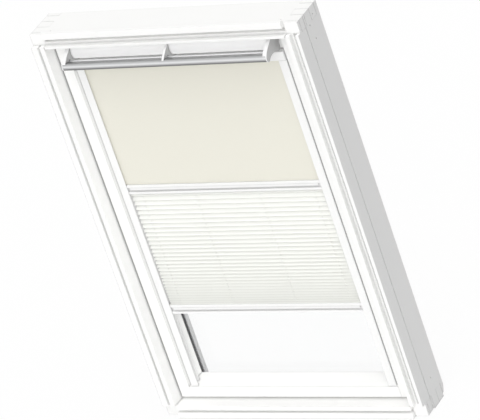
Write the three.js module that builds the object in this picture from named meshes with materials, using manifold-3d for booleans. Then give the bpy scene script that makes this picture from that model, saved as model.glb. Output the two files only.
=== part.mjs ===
// Centre-pivot roof window with its interior duo blind: a blackout cloth above, a pleated cloth below.
// Millimetres, +Z up. The room side faces -Y. The window stands upright on its sill.
import * as THREE from 'three';
import { mergeVertices } from 'three/addons/utils/BufferGeometryUtils.js';
import Module from 'manifold-3d';

const wasm = await Module();
wasm.setup();

// Driving sizes of the whole window
const frameWidth = 780;
const frameHeight = 1178;
const frameDepth = 121;
const barReach = 28;
const clearance = 0.3;
const overrun = 5;

// Frame section: widths are counted from the outer face, depths from the front of the lips
const lipDepth = 13;
const grooveDepth = 17;
const slotDepth = 26;
const cornerLength = 40;
const fingerLength = 38;
const revealDepth = 36;
const jambThickness = 41;
const sideLip = 18;
const sideGroove = 7;
const sideOpening = 38;
const rightLip = 9;
const rightSlot = 12.7;
const rightLedge = 5.9;
const headLip = 18;
const headSlot = 13.3;
const headLedge = 7.5;
const headThickness = 45.6;
const headFingerHeight = 41.5;
const sillLip = 19;
const sillGroove = 7.5;
const sillThickness = 39;
const sideScoreDepth = 44.2;
const sideScoreCut = 2.5;
const frontFinger = 10;
const fingerHeight = 28;
const fingerGap = 1.2;
const headStep = 9;
const fingerRise = 4;
const rearRise = 8.6;
const rearCut = 9;
const rearCutRise = 17.4;
const holeRadius = 2.2;
const holeLength = 18;
const topHoleMargin = 54;
const topHoleDepth = 29;
const highHoleDrop = 30;
const highHoleDepth = 89;
const secondHoleDrop = 47;
const secondHoleDepth = 63;
const thirdHoleDrop = 89;
const thirdHoleDepth = 71;
const lowHoleRise = 79;
const lowHoleDepth = 74;

// Sash
const sashMargin = 46;
const sashTopMargin = 52;
const sashFront = 35.3;
const stileFace = 30;
const bottomFace = 31;
const faceEdge = 2.2;
const glassLap = 30.5;
const bottomLap = 23;
const bevelLand = 1;
const rebateWidth = 14.5;
const bottomRebateDrop = 9;
const topFace = 52.3;
const topLipSetback = 6.3;
const topLipThickness = 8.7;
const topLap = 28.7;
const topRebateDrop = 9.7;

// Glazing unit
const gasketThickness = 2.4;
const gasketWidth = 16;
const gasketShow = 4;
const bottomSet = 2;
const glassGap = 2;
const paneThickness = 4;
const spacerDepth = 15.4;
const spacerWidth = 12;
const sealWidth = 5.2;
const claddingThickness = 2;
const claddingSetback = 0.5;
const claddingWidth = 57.5;
const claddingBottom = 33.5;
const claddingTop = 69.5;

// Pivot
const pivotDepth = 70;
const pivotPinRadius = 5;
const pivotPinLength = 16;
const pivotPlateThickness = 3;
const pivotPlateWidth = 44;
const pivotPlateHeight = 110;
const bushRadius = 8.5;
const bushLength = 15;
const plateHoleRadius = 2.3;
const plateHolePitch = 36;
const sealStripWidth = 12;
const sealStripHeight = 2.8;
const sealStripGap = 4;

// Lock and ventilation
const lockWidth = 64;
const lockHeight = 26;
const lockDepth = 16;
const tongueWidth = 18;
const tongueThickness = 6;
const tongueLength = 20;
const tongueReach = 2.6;
const keeperWidth = 50;
const keeperDepth = 12;
const lockSetback = 5;
const keeperThickness = 2.4;
const filterHeight = 22;
const filterThickness = 9;
const filterMargin = 110;

// Control bar assembly: depths from the frame front, drops from the top of the frame
const axisDepth = 47.5;
const axisDrop = 66;
const rodRadius = 3;
const barSetback = 15;
const outerBracketWidth = 11.5;
const endPlateWidth = 3.3;
const middleBracketWidth = 6;
const barTopDrop = 77.3;
const barBottomDrop = 96;
const barNoseDrop = 84;
const bracketTopDrop = 50.5;
const bracketBottomDrop = 99;
const flapTopDrop = 52;
const flapBridge = 4;
const flapBottomDrop = 84.8;
const flapDepth = 13.2;
const flapBulge = 4.5;
const flapThickness = 2;
const rodSocket = 8;

// Blind: head box, side rails and roller
const railSetback = 6.5;
const railWidth = 22.2;
const railFront = 38;
const railBackGap = 1.9;
const railWall = 1.6;
const railHookGap = 0.4;
const railRound = 3;
const channelReach = 11.7;
const channelHook = 3;
const boxHeight = 24.4;
const boxWall = 1.5;
const boxCap = 1.7;
const clothSlot = 3;
const clothSetback = 5.5;
const clothThickness = 0.6;
const clothInset = 14.5;
const rollRadius = 8;
const rollGap = 0.4;
const tubeRadius = 6;
const tubeWall = 0.9;
const tubeInset = 9.5;
const axleRadius = 1.8;
const springStart = 20;
const springLength = 260;

// Blind: bars and pleated cloth
const barHeight = 26.5;
const bladeSetback = 1;
const bladeDepth = 17;
const barEndGap = 0.5;
const lowerLipHeight = 6;
const fingerGroove = 5.5;
const fingerGrooveDepth = 5;
const midFaceHeight = 6.5;
const midFaceSetback = 1.5;
const thinGroove = 1.2;
const thinGrooveDepth = 3.5;
const notchLength = 7.4;
const barWall = 1.2;
const middleBarBottom = 673.5;
const bottomBarBottom = 305.2;
const gliderReach = 10;
const gliderPlug = 24;
const pleatCount = 31;
const upperPleats = 16;
const pleatTaperShare = 0.58;
const pleatCurveShare = 1.5;
const pleatPanel = 11.5;
const pleatSetback = 8.6;
const pleatThickness = 0.5;
const cordRadius = 0.55;
const cordHoleRadius = 2.2;
const cordInset = 31;
const cordPairShare = 0.165;

// Fineness of the round pieces
const roundSides = 24;
const smallSides = 10;
const cordSides = 8;
const prismSides = 3;

// Finishes
const whitePaint = { color: 0xf6f6f4, roughness: 0.45, metalness: 0 };
const whitePlastic = { color: 0xf4f4f3, roughness: 0.4, metalness: 0 };
const silver = { color: 0xb9babb, roughness: 0.35, metalness: 0.9 };
const steel = { color: 0x9a9c9e, roughness: 0.4, metalness: 0.9 };
const blackRubber = { color: 0x202020, roughness: 0.8, metalness: 0 };
const blackoutCloth = { color: 0xe5e4d6, roughness: 0.95, metalness: 0 };
const pleatCloth = { color: 0xf1f2ec, roughness: 0.9, metalness: 0 };
const glass = { color: 0xf2f7f7, roughness: 0.05, metalness: 0 };
const greyCladding = { color: 0x5b5e60, roughness: 0.5, metalness: 0.5 };
const foam = { color: 0x4a4c4e, roughness: 1, metalness: 0 };
const paleCord = { color: 0xe8e8e4, roughness: 0.8, metalness: 0 };

const halfWidth = frameWidth / 2;
const centreDepth = (frameDepth - barReach) / 2;
const sashBottom = sashMargin;
const sashTop = frameHeight - sashTopMargin;
const pivotHeight = (sashBottom + sashTop) / 2;
const roofWindow = new THREE.Group();

// Depths that follow each other from the blind back to the outside of the sash
const clothFront = railFront + clothSetback;
const rollDepth = clothFront + clothThickness + rollRadius;
const boxBack = rollDepth + rollRadius + rollGap + boxWall;
const barFront = railFront + bladeSetback;
const barBack = barFront + bladeDepth;
const pleatCentre = barFront + pleatSetback;
const topLipFront = boxBack + clearance;
const topFront = topLipFront - topLipSetback;
const rebateDepth = topLipFront + topLipThickness;
const bevelDepth = rebateDepth - bevelLand;
const innerPane = rebateDepth + gasketThickness + 2 * clearance;
const spacerFront = innerPane + paneThickness + clearance;
const outerPane = spacerFront + spacerDepth + clearance;
const sashBack = outerPane + paneThickness;

// Margins and heights that follow each other from the sash to the glass and the blind
const stileEdge = sashMargin + stileFace;
const bevelEnd = stileEdge + glassLap;
const rebateMargin = bevelEnd - rebateWidth;
const glassMargin = rebateMargin + glassGap;
const bottomEdge = sashMargin + bottomFace;
const bottomBevelEnd = bottomEdge + bottomLap;
const bottomRebate = bottomEdge - bottomRebateDrop;
const glassBottom = bottomRebate + glassGap;
const topEdge = sashTop - topFace;
const lipEnd = topEdge - topLap;
const topRebate = topFace + topRebateDrop;
const railMargin = stileEdge + railSetback;
const barMargin = stileEdge + barSetback;

// Depth of the stile's bevel at a margin
function bevelAt(margin) {
  const bevelShare = (bevelDepth - sashFront - faceEdge) / glassLap;
  return sashFront + faceEdge + (margin - stileEdge) * bevelShare;
}

// A depth behind the frame front as a Y place
function atDepth(depth) {
  return depth - centreDepth;
}

// A drop below the frame top as a Z place
function atDrop(drop) {
  return frameHeight - drop;
}

// A distance in from the outer face of a jamb as an X place, side -1 left and +1 right
function atMargin(side, margin) {
  return side * (halfWidth - margin);
}

// A box between two places on each axis, depths counted from the frame front
function box(x0, x1, depth0, depth1, z0, z1) {
  const geometry = new THREE.BoxGeometry(Math.abs(x1 - x0), Math.abs(depth1 - depth0), Math.abs(z1 - z0));
  return geometry.translate((x0 + x1) / 2, atDepth((depth0 + depth1) / 2), (z0 + z1) / 2);
}

// A box that keeps to one side: margins are counted from the outer face of that jamb
function sideBox(side, margin0, margin1, depth0, depth1, z0, z1) {
  return box(atMargin(side, margin0), atMargin(side, margin1), depth0, depth1, z0, z1);
}

function shapeOf(points, holes = []) {
  const shape = new THREE.Shape(points.map(([u, v]) => new THREE.Vector2(u, v)));
  for (const hole of holes) {
    shape.holes.push(new THREE.Path(hole.map(([u, v]) => new THREE.Vector2(u, v))));
  }
  return shape;
}

// An outline of depth and height, drawn out along X
function alongX(points, x0, x1, holes = []) {
  const toPlace = (outline) => outline.map(([depth, z]) => [atDepth(depth), z]);
  const shape = shapeOf(toPlace(points), holes.map(toPlace));
  const geometry = new THREE.ExtrudeGeometry(shape, { depth: x1 - x0, bevelEnabled: false });
  const turn = new THREE.Matrix4().makeBasis(
    new THREE.Vector3(0, 1, 0), new THREE.Vector3(0, 0, 1), new THREE.Vector3(1, 0, 0));
  return geometry.applyMatrix4(turn).translate(x0, 0, 0);
}

// An outline of margin and depth on one side, drawn out along Z
function alongZ(side, points, z0, z1) {
  const shape = shapeOf(points.map(([margin, depth]) => [atMargin(side, margin), atDepth(depth)]));
  return new THREE.ExtrudeGeometry(shape, { depth: z1 - z0, bevelEnabled: false }).translate(0, 0, z0);
}

// An outline of margin and height on one side, drawn out along the depth
function alongY(side, points, depth0, depth1) {
  const shape = shapeOf(points.map(([margin, z]) => [z, atMargin(side, margin)]));
  const geometry = new THREE.ExtrudeGeometry(shape, { depth: depth1 - depth0, bevelEnabled: false });
  const turn = new THREE.Matrix4().makeBasis(
    new THREE.Vector3(0, 0, 1), new THREE.Vector3(1, 0, 0), new THREE.Vector3(0, 1, 0));
  return geometry.applyMatrix4(turn).translate(0, atDepth(depth0), 0);
}

// A round bar between two X places
function rodX(radius, x0, x1, depth, z, sides = roundSides) {
  const geometry = new THREE.CylinderGeometry(radius, radius, Math.abs(x1 - x0), sides);
  return geometry.rotateZ(Math.PI / 2).translate((x0 + x1) / 2, atDepth(depth), z);
}

// A round bar between two heights
function rodZ(radius, z0, z1, x, depth, sides = smallSides) {
  const geometry = new THREE.CylinderGeometry(radius, radius, Math.abs(z1 - z0), sides);
  return geometry.rotateX(Math.PI / 2).translate(x, atDepth(depth), (z0 + z1) / 2);
}

function toSolid(shape) {
  if (!(shape instanceof THREE.BufferGeometry)) return shape;
  const bare = shape.clone();
  bare.deleteAttribute('normal');
  bare.deleteAttribute('uv');
  const welded = mergeVertices(bare);
  const vertProperties = Float32Array.from(welded.attributes.position.array);
  const triVerts = Uint32Array.from(welded.index.array);
  return new wasm.Manifold(new wasm.Mesh({ numProp: 3, vertProperties, triVerts }));
}

function join(shapes) {
  return shapes.map(toSolid).reduce((sum, next) => sum.add(next));
}

function cut(shape, tools) {
  return tools.map(toSolid).reduce((rest, tool) => rest.subtract(tool), toSolid(shape));
}

function toGeometry(solid) {
  if (solid instanceof THREE.BufferGeometry) return solid;
  const { vertProperties, triVerts } = solid.getMesh();
  const geometry = new THREE.BufferGeometry();
  geometry.setAttribute('position', new THREE.BufferAttribute(Float32Array.from(vertProperties), 3));
  geometry.setIndex(new THREE.BufferAttribute(Uint32Array.from(triVerts), 1));
  geometry.computeVertexNormals();
  return geometry;
}

function addPiece(name, shape, finish) {
  const mesh = new THREE.Mesh(toGeometry(shape), new THREE.MeshStandardMaterial(finish));
  mesh.name = name;
  roofWindow.add(mesh);
}

const sides = [-1, 1];
const sideName = (side) => (side < 0 ? 'left' : 'right');

// Depth bands of the finger joints: the jambs hold the first, third and fifth, the head and sill the others
const bandEdges = [lipDepth, lipDepth + frontFinger, lipDepth + frontFinger + fingerHeight,
  lipDepth + frontFinger + 2 * fingerHeight, lipDepth + frontFinger + 3 * fingerHeight, frameDepth];
const crossBands = [1, 3];

// Blind holes bored in the outer faces near the corners
function sideHoles(side) {
  const places = [[atDrop(highHoleDrop), highHoleDepth], [atDrop(secondHoleDrop), secondHoleDepth],
    [atDrop(thirdHoleDrop), thirdHoleDepth], [lowHoleRise, lowHoleDepth]];
  return places.map(([z, depth]) => rodX(holeRadius, atMargin(side, -overrun), atMargin(side, holeLength),
    depth, z, smallSides));
}

function topHoles() {
  return sides.map((side) => rodZ(holeRadius, atDrop(headStep + holeLength), atDrop(-overrun),
    atMargin(side, topHoleMargin), topHoleDepth));
}

// Scored line along the outer face: a slope from the front and a square edge behind
function scoreLine(side) {
  return alongZ(side, [[-sideScoreCut, sideScoreDepth - 2 * sideScoreCut], [sideScoreCut, sideScoreDepth],
    [-sideScoreCut, sideScoreDepth]], -overrun, frameHeight + overrun);
}

const outerCuts = () => sides.flatMap((side) => [scoreLine(side), ...sideHoles(side)]);

// Jambs: full height in their own finger bands, cut short in the bands of head and sill
function makeJamb(side) {
  const lip = side < 0 ? sideLip : rightLip;
  const grooveEnd = side < 0 ? sideLip + sideGroove : rightLip + rightSlot + rightLedge;
  const body = join([
    sideBox(side, 0, fingerLength, lipDepth, frameDepth, 0, atDrop(headStep)),
    alongZ(side, [[0, 0], [sideOpening, 0], [jambThickness, revealDepth],
      [jambThickness, frameDepth], [0, frameDepth]], cornerLength, frameHeight - cornerLength),
  ]);
  const rearStart = bandEdges[4] - fingerGap;
  const rearEnd = frameDepth + overrun;
  const tools = [
    sideBox(side, fingerLength, jambThickness + overrun, -overrun, frameDepth + overrun,
      -overrun, sillThickness + clearance),
    sideBox(side, fingerLength, jambThickness + overrun, -overrun, frameDepth + overrun,
      frameHeight - headThickness - clearance, frameHeight + overrun),
    sideBox(side, lip, grooveEnd, -overrun, lipDepth, cornerLength - overrun, frameHeight),
    sideBox(side, -overrun, fingerLength + overrun, 0, bandEdges[1] + fingerGap, -overrun, fingerRise),
    alongX([[rearStart, -overrun], [rearEnd, -overrun],
      [rearEnd, rearRise + (rearCut + overrun) * rearCutRise / rearCut],
      [frameDepth - rearCut, rearRise], [rearStart, rearRise]], -halfWidth - overrun, halfWidth + overrun),
    scoreLine(side),
    ...sideHoles(side),
  ];
  if (side < 0) {
    tools.push(sideBox(side, lip, grooveEnd, 0, grooveDepth, cornerLength, frameHeight - cornerLength));
  } else {
    tools.push(sideBox(side, lip, lip + rightSlot, 0, slotDepth, cornerLength, frameHeight - cornerLength));
  }
  for (const band of crossBands) {
    const start = bandEdges[band] - fingerGap / 2;
    const end = bandEdges[band + 1] + fingerGap / 2;
    tools.push(sideBox(side, -overrun, fingerLength + overrun, start, end, -overrun,
      sillThickness + clearance / 2));
    tools.push(sideBox(side, -overrun, fingerLength + overrun, start, end,
      frameHeight - headFingerHeight - clearance / 2, frameHeight + overrun));
  }
  return cut(body, tools);
}

// Head and sill: between the jambs, with fingers that reach the outer faces in their own bands
function makeCrossMember(atTop) {
  const thickness = atTop ? headThickness : sillThickness;
  const fingerEnd = atTop ? headFingerHeight : sillThickness;
  const lip = atTop ? headLip : sillLip;
  const step = atTop ? headStep : 0;
  const grooveEnd = atTop ? headLip + headSlot + headLedge : sillLip + sillGroove;
  const place = (rise) => (atTop ? frameHeight - rise : rise);
  const inner = halfWidth - fingerLength - clearance;
  const span = halfWidth - cornerLength;
  const pieces = [
    box(-inner, inner, lipDepth, frameDepth, place(step), place(thickness)),
    box(-span, span, 0, lipDepth, place(0), place(lip)),
    box(-span, span, 0, lipDepth + overrun, place(step), place(lip)),
    box(-span, span, 0, lipDepth + overrun, place(grooveEnd), place(thickness)),
  ];
  for (const band of crossBands) {
    const start = bandEdges[band] + fingerGap / 2;
    const end = bandEdges[band + 1] - fingerGap / 2;
    const first = band === 1 && !atTop ? fingerRise : step;
    pieces.push(box(-halfWidth, halfWidth, start, end, place(first), place(fingerEnd - clearance / 2)));
  }
  const slot = atTop
    ? box(-span, span, -overrun, slotDepth, place(headLip), place(headLip + headSlot))
    : box(-span, span, -overrun, grooveDepth, place(sillLip), place(sillLip + sillGroove));
  return cut(join(pieces), [slot, ...outerCuts(), ...(atTop ? topHoles() : [])]);
}

// Screw holes of a pivot plate
function plateHoles(side) {
  return [-1, 1].map((step) => rodX(plateHoleRadius, atMargin(side, jambThickness - overrun),
    atMargin(side, sashMargin + overrun), pivotDepth, pivotHeight + step * plateHolePitch, smallSides));
}

addPiece('frame_jamb_left', makeJamb(-1), whitePaint);
addPiece('frame_jamb_right', makeJamb(1), whitePaint);
const lockFront = topFront + filterThickness + lockSetback;
const keeperMiddle = lockFront + lockDepth / 2;
addPiece('frame_head', cut(makeCrossMember(true), [
  box(-keeperWidth / 2 - clearance, keeperWidth / 2 + clearance, keeperMiddle - keeperDepth / 2 - clearance,
    keeperMiddle + keeperDepth / 2 + clearance, atDrop(headThickness + overrun),
    atDrop(headThickness - keeperThickness)),
]), whitePaint);
addPiece('frame_sill', makeCrossMember(false), whitePaint);

// Weather strips round the opening
const sealStripDepth = pivotDepth + pivotPlateWidth / 2 - sealStripWidth + sealStripGap;
const stripEnd = atDrop(headThickness + sealStripHeight + clearance);
const stripStart = sillThickness + sealStripHeight + clearance;
for (const side of sides) {
  const strip = sideBox(side, jambThickness + clearance, jambThickness + clearance + sealStripHeight,
    sealStripDepth, sealStripDepth + sealStripWidth, stripStart, stripEnd);
  addPiece(`seal_${sideName(side)}`, strip, blackRubber);
}
const stripHalf = halfWidth - jambThickness - clearance;
addPiece('seal_head', box(-stripHalf, stripHalf, sealStripDepth, sealStripDepth + sealStripWidth,
  atDrop(headThickness + clearance), atDrop(headThickness + sealStripHeight)), blackRubber);
addPiece('seal_sill', box(-stripHalf, stripHalf, sealStripDepth, sealStripDepth + sealStripWidth,
  sillThickness + clearance, sillThickness + sealStripHeight), blackRubber);

// Pivot plates with their pins, and the bushes in the stiles
for (const side of sides) {
  const face = jambThickness + clearance;
  const plate = join([
    sideBox(side, face, jambThickness + pivotPlateThickness, pivotDepth - pivotPlateWidth / 2,
      pivotDepth + pivotPlateWidth / 2 - sealStripWidth, pivotHeight - pivotPlateHeight / 2,
      pivotHeight + pivotPlateHeight / 2),
    rodX(pivotPinRadius, atMargin(side, face), atMargin(side, sashMargin + pivotPinLength), pivotDepth,
      pivotHeight),
  ]);
  addPiece(`pivot_plate_${sideName(side)}`, cut(plate, plateHoles(side)), steel);
  const bush = rodX(bushRadius, atMargin(side, sashMargin + clearance),
    atMargin(side, sashMargin + bushLength), pivotDepth, pivotHeight);
  const bore = rodX(pivotPinRadius + clearance, atMargin(side, sashMargin - overrun),
    atMargin(side, sashMargin + bushLength + overrun), pivotDepth, pivotHeight);
  addPiece(`pivot_bush_${sideName(side)}`, cut(bush, [bore]), steel);
}

// Keeper of the lock, let into the head
addPiece('lock_keeper', box(-keeperWidth / 2, keeperWidth / 2, keeperMiddle - keeperDepth / 2,
  keeperMiddle + keeperDepth / 2, atDrop(headThickness),
  atDrop(headThickness - keeperThickness + clearance)), steel);

// Sash stiles: bevelled towards the glass, mitred over the bottom rail and clear of the top rail
const mitreShare = (bottomBevelEnd - bottomEdge) / (bevelEnd - stileEdge);

function makeStile(side) {
  const section = [[sashMargin, sashFront], [stileEdge, sashFront], [stileEdge, sashFront + faceEdge],
    [bevelEnd, bevelDepth], [bevelEnd, rebateDepth], [rebateMargin, rebateDepth], [rebateMargin, sashBack],
    [sashMargin, sashBack]];
  const reach = bevelEnd + overrun - stileEdge;
  const mitre = alongY(side, [[stileEdge, -overrun], [bevelEnd + overrun, -overrun],
    [bevelEnd + overrun, bottomEdge + reach * mitreShare], [stileEdge, bottomEdge]], 0, frameDepth);
  return cut(alongZ(side, section, sashBottom, sashTop), [
    mitre,
    sideBox(side, stileEdge, bevelEnd + overrun, 0, frameDepth, lipEnd - clearance, frameHeight),
    rodX(bushRadius + clearance, atMargin(side, sashMargin - overrun),
      atMargin(side, sashMargin + pivotPinLength + clearance), pivotDepth, pivotHeight),
    rodX(rodRadius + clearance, atMargin(side, stileEdge - rodSocket - clearance),
      atMargin(side, stileEdge + overrun), axisDepth, atDrop(axisDrop)),
  ]);
}

for (const side of sides) addPiece(`sash_stile_${sideName(side)}`, makeStile(side), whitePaint);

const railHalf = halfWidth - stileEdge - clearance;
const bottomSection = [[sashFront, sashBottom], [sashFront, bottomEdge], [sashFront + faceEdge, bottomEdge],
  [bevelDepth, bottomBevelEnd], [rebateDepth, bottomBevelEnd], [rebateDepth, bottomRebate],
  [sashBack, bottomRebate], [sashBack, sashBottom]];
const bottomMitres = sides.map((side) => alongY(side, [
  [stileEdge - overrun, bottomEdge - overrun * mitreShare - clearance],
  [bevelEnd + overrun, bottomEdge + (bevelEnd + overrun - stileEdge) * mitreShare - clearance],
  [stileEdge - overrun, bottomEdge + glassLap * 2]], sashFront - overrun, sashBack + overrun));
addPiece('sash_bottom_rail', cut(alongX(bottomSection, -railHalf, railHalf), bottomMitres), whitePaint);

const topSection = [[topFront, sashTop], [topFront, topEdge], [topLipFront, topEdge], [topLipFront, lipEnd],
  [rebateDepth, lipEnd], [rebateDepth, sashTop - topRebate], [sashBack, sashTop - topRebate],
  [sashBack, sashTop]];
const filterTop = sashTop - (topFace - filterHeight) / 2;
const filterHalf = halfWidth - filterMargin;
const lockTop = sashTop - clearance;
addPiece('sash_top_rail', cut(alongX(topSection, -railHalf, railHalf), [
  box(-filterHalf - clearance, filterHalf + clearance, topFront - overrun,
    topFront + filterThickness + clearance, filterTop - filterHeight - clearance, filterTop + clearance),
  box(-lockWidth / 2 - clearance, lockWidth / 2 + clearance, lockFront - clearance,
    lockFront + lockDepth + clearance, sashTop - lockHeight - clearance, sashTop + overrun),
]), whitePaint);
addPiece('vent_filter', box(-filterHalf, filterHalf, topFront + clearance, topFront + filterThickness,
  filterTop - filterHeight, filterTop), foam);

// Lock case in the top rail and the tongue that stands out of it
const tongueDepth = lockFront + (lockDepth - tongueThickness) / 2;
const tongueTop = sashTop + tongueReach;
const tongueBox = (grow, travel) => box(-tongueWidth / 2 - grow, tongueWidth / 2 + grow, tongueDepth - grow,
  tongueDepth + tongueThickness + grow, tongueTop - tongueLength - travel - grow, tongueTop + grow);
addPiece('lock_case', cut(box(-lockWidth / 2, lockWidth / 2, lockFront, lockFront + lockDepth,
  sashTop - lockHeight, lockTop), [tongueBox(clearance, tongueReach)]), steel);
addPiece('lock_tongue', tongueBox(0, 0), steel);

// Glazing unit: inner pane, spacer, outer pane, with a black gasket in front of it
const glassHalf = halfWidth - glassMargin;
const glassTop = sashTop - topRebate - glassGap;
const gasketInset = glassHalf - (halfWidth - bevelEnd) - gasketWidth + gasketShow;

// Four bars round the glass: inset from its edge, width and depths
function addGlassBars(name, inset, width, bottomInset, depth0, depth1, finish) {
  const x0 = glassHalf - inset;
  const x1 = x0 - width;
  const z0 = glassBottom + bottomInset - bottomSet;
  const z1 = z0 + width;
  const z3 = glassTop - bottomInset;
  const z2 = z3 - width;
  addPiece(`${name}_left`, box(-x0, -x1, depth0, depth1, z0, z3), finish);
  addPiece(`${name}_right`, box(x1, x0, depth0, depth1, z0, z3), finish);
  addPiece(`${name}_bottom`, box(-x1 + clearance, x1 - clearance, depth0, depth1, z0, z1), finish);
  addPiece(`${name}_top`, box(-x1 + clearance, x1 - clearance, depth0, depth1, z2, z3), finish);
}

addPiece('inner_pane', box(-glassHalf, glassHalf, innerPane, innerPane + paneThickness,
  glassBottom, glassTop), glass);
addPiece('outer_pane', box(-glassHalf, glassHalf, outerPane, outerPane + paneThickness,
  glassBottom, glassTop), glass);
addGlassBars('glass_spacer', sealWidth, spacerWidth, sealWidth, spacerFront, spacerFront + spacerDepth,
  silver);
addGlassBars('glazing_gasket', gasketInset, gasketWidth, clearance, rebateDepth + clearance,
  rebateDepth + clearance + gasketThickness, blackRubber);

// Outside cladding of the sash
const claddingFront = sashBack + clearance;
const claddingBack = claddingFront + claddingThickness;
const claddingEdge = sashMargin + claddingSetback;
const claddingInner = claddingEdge + claddingWidth;
for (const side of sides) {
  addPiece(`cladding_${sideName(side)}`, sideBox(side, claddingEdge, claddingInner, claddingFront,
    claddingBack, sashBottom + claddingSetback, sashTop - claddingSetback), greyCladding);
}
const claddingHalf = halfWidth - claddingInner - clearance;
addPiece('cladding_bottom', box(-claddingHalf, claddingHalf, claddingFront, claddingBack,
  sashBottom + claddingSetback, sashBottom + claddingSetback + claddingBottom), greyCladding);
addPiece('cladding_top', box(-claddingHalf, claddingHalf, claddingFront, claddingBack,
  sashTop - claddingSetback - claddingTop, sashTop - claddingSetback), greyCladding);

// Control bar: a round-nosed section with a groove and a rounded rib behind it
const barSpan = barTopDrop - barBottomDrop;
const barDepthShares = [-0.643, -0.43, -0.307, -0.22, -0.17, -0.12, -0.02, 0.085, 0.13, 0.07, -0.107,
  -0.32, -0.57, -0.77, -0.905, -0.98, -1, -0.985, -0.925, -0.815];
const barRiseShares = [0, 0.07, 0.176, 0.262, 0.176, 0.08, 0.043, 0.1, 0.25, 0.41, 0.57, 0.786, 0.957, 1,
  0.925, 0.754, 0.545, 0.326, 0.13, 0.016];
const barOutline = barDepthShares.map((share, i) => [share * barReach,
  atDrop(barTopDrop) + barRiseShares[i] * barSpan]);
const barHalf = halfWidth - barMargin;
const barEnd = barHalf - endPlateWidth - clearance;
addPiece('control_bar', alongX(barOutline, -barEnd, barEnd), silver);

// The room that the bar takes with its clearance: the bar moved a little each way
function barRoom(x0, x1) {
  const gap = 2 * clearance;
  const moves = [[gap, gap], [gap, -gap], [-gap, gap], [-gap, -gap], [0, 0]];
  return moves.map(([back, up]) => alongX(barOutline.map(([depth, z]) => [depth + back, z + up]), x0, x1));
}

// Brackets: an arched arm from the hinge rod to the bar
const armDepth = axisDepth + barReach;
const armDrop = bracketBottomDrop - bracketTopDrop;
const armDepthShares = [0, 0.126, 0.285, 0.43, 0.523, 0.703, 0.815, 0.9, 0.966, 0.997, 1, 0.984, 0.94,
  0.881, 0.828, 0.752, 0.596, 0.395, 0.205, 0.086, 0.029, 0.0225, -0.06, -0.0715];
const armDropShares = [0.165, 0.047, 0, 0.043, 0.118, 0.258, 0.365, 0.464, 0.575, 0.68, 0.784, 0.876, 0.95,
  0.971, 0.934, 0.843, 0.79, 0.833, 0.959, 1, 0.856, 0.608, 0.423, 0.278];
const armOutline = armDepthShares.map((share, i) => [axisDepth - share * armDepth,
  atDrop(bracketTopDrop + armDropShares[i] * armDrop)]);

// What a bracket leaves free over a stretch of the bar: the bar's room and all that lies below its nose
function barSeat(x0, x1) {
  return [...barRoom(x0, x1), box(x0, x1, -frameDepth, 0, 0, atDrop(barNoseDrop))];
}

function makeBracket(x0, x1, seat) {
  const bore = rodX(rodRadius + clearance, x0 - overrun, x1 + overrun, axisDepth, atDrop(axisDrop));
  return cut(alongX(armOutline, x0, x1), [bore, ...seat]);
}

// The outer brackets end in a plate that covers the end of the bar
const seatEnd = barHalf - endPlateWidth;
addPiece('bracket_left', makeBracket(-barHalf, -barHalf + outerBracketWidth,
  barSeat(-seatEnd, -barHalf + outerBracketWidth + overrun)), whitePlastic);
addPiece('bracket_right', makeBracket(barHalf - outerBracketWidth, barHalf,
  barSeat(barHalf - outerBracketWidth - overrun, seatEnd)), whitePlastic);

// The middle bracket passes under the bridge that joins the two panels of the flap
const middle0 = -middleBracketWidth / 2;
const middle1 = middleBracketWidth / 2;
const bridgeDrop = flapTopDrop + flapBridge;
addPiece('bracket_middle', makeBracket(middle0, middle1, [
  ...barSeat(middle0 - overrun, middle1 + overrun),
  box(middle0 - overrun, middle1 + overrun, flapDepth - clearance,
    flapDepth + flapBulge + flapThickness + clearance, atDrop(bridgeDrop + clearance), frameHeight),
]), whitePlastic);

// Vent flap: two bowed panels between the brackets
function flapOutline() {
  const steps = 10;
  const front = [];
  const back = [];
  for (let i = 0; i <= steps; i += 1) {
    const share = i / steps;
    const depth = flapDepth + flapBulge * (2 * share - 1) ** 2;
    const z = atDrop(flapTopDrop + share * (flapBottomDrop - flapTopDrop));
    front.push([depth, z]);
    back.unshift([depth + flapThickness, z]);
  }
  return [...front, ...back];
}

const flapHalf = barHalf - outerBracketWidth - clearance;
addPiece('vent_flap', cut(alongX(flapOutline(), -flapHalf, flapHalf), [
  box(middle0 - clearance, middle1 + clearance, 0, axisDepth, 0, atDrop(bridgeDrop)),
]), whitePlastic);

// Hinge rod of the control bar, socketed in the stiles
const rodHalf = halfWidth - stileEdge + rodSocket;
addPiece('bar_hinge_rod', rodX(rodRadius, -rodHalf, rodHalf, axisDepth, atDrop(axisDrop)), steel);

// Head box of the blind: a shell open at its ends, with a slot below for the cloth
const boxTop = topEdge - clearance;
const boxBottom = boxTop - boxHeight;
const boxHalf = halfWidth - railMargin - boxCap - clearance;
const rollHeight = (boxTop + boxBottom) / 2;
const shell = alongX([[railFront, boxBottom], [boxBack, boxBottom], [boxBack, boxTop], [railFront, boxTop]],
  -boxHalf, boxHalf, [[[railFront + boxWall, boxBottom + boxWall], [railFront + boxWall, boxTop - boxWall],
    [boxBack - boxWall, boxTop - boxWall], [boxBack - boxWall, boxBottom + boxWall]]]);
const slotFront = clothFront - (clothSlot - clothThickness) / 2;
addPiece('blind_head_box', cut(shell, [box(-halfWidth, halfWidth, slotFront, slotFront + clothSlot,
  boxBottom - overrun, boxBottom + boxWall + clearance)]), whitePlastic);
for (const side of sides) {
  const cap = sideBox(side, railMargin, railMargin + boxCap, railFront, boxBack, boxBottom, boxTop);
  const bore = rodX(axleRadius + clearance, atMargin(side, railMargin - overrun),
    atMargin(side, railMargin + overrun), rollDepth, rollHeight, smallSides);
  addPiece(`head_box_cap_${sideName(side)}`, cut(cap, [bore]), whitePlastic);
}

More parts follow.
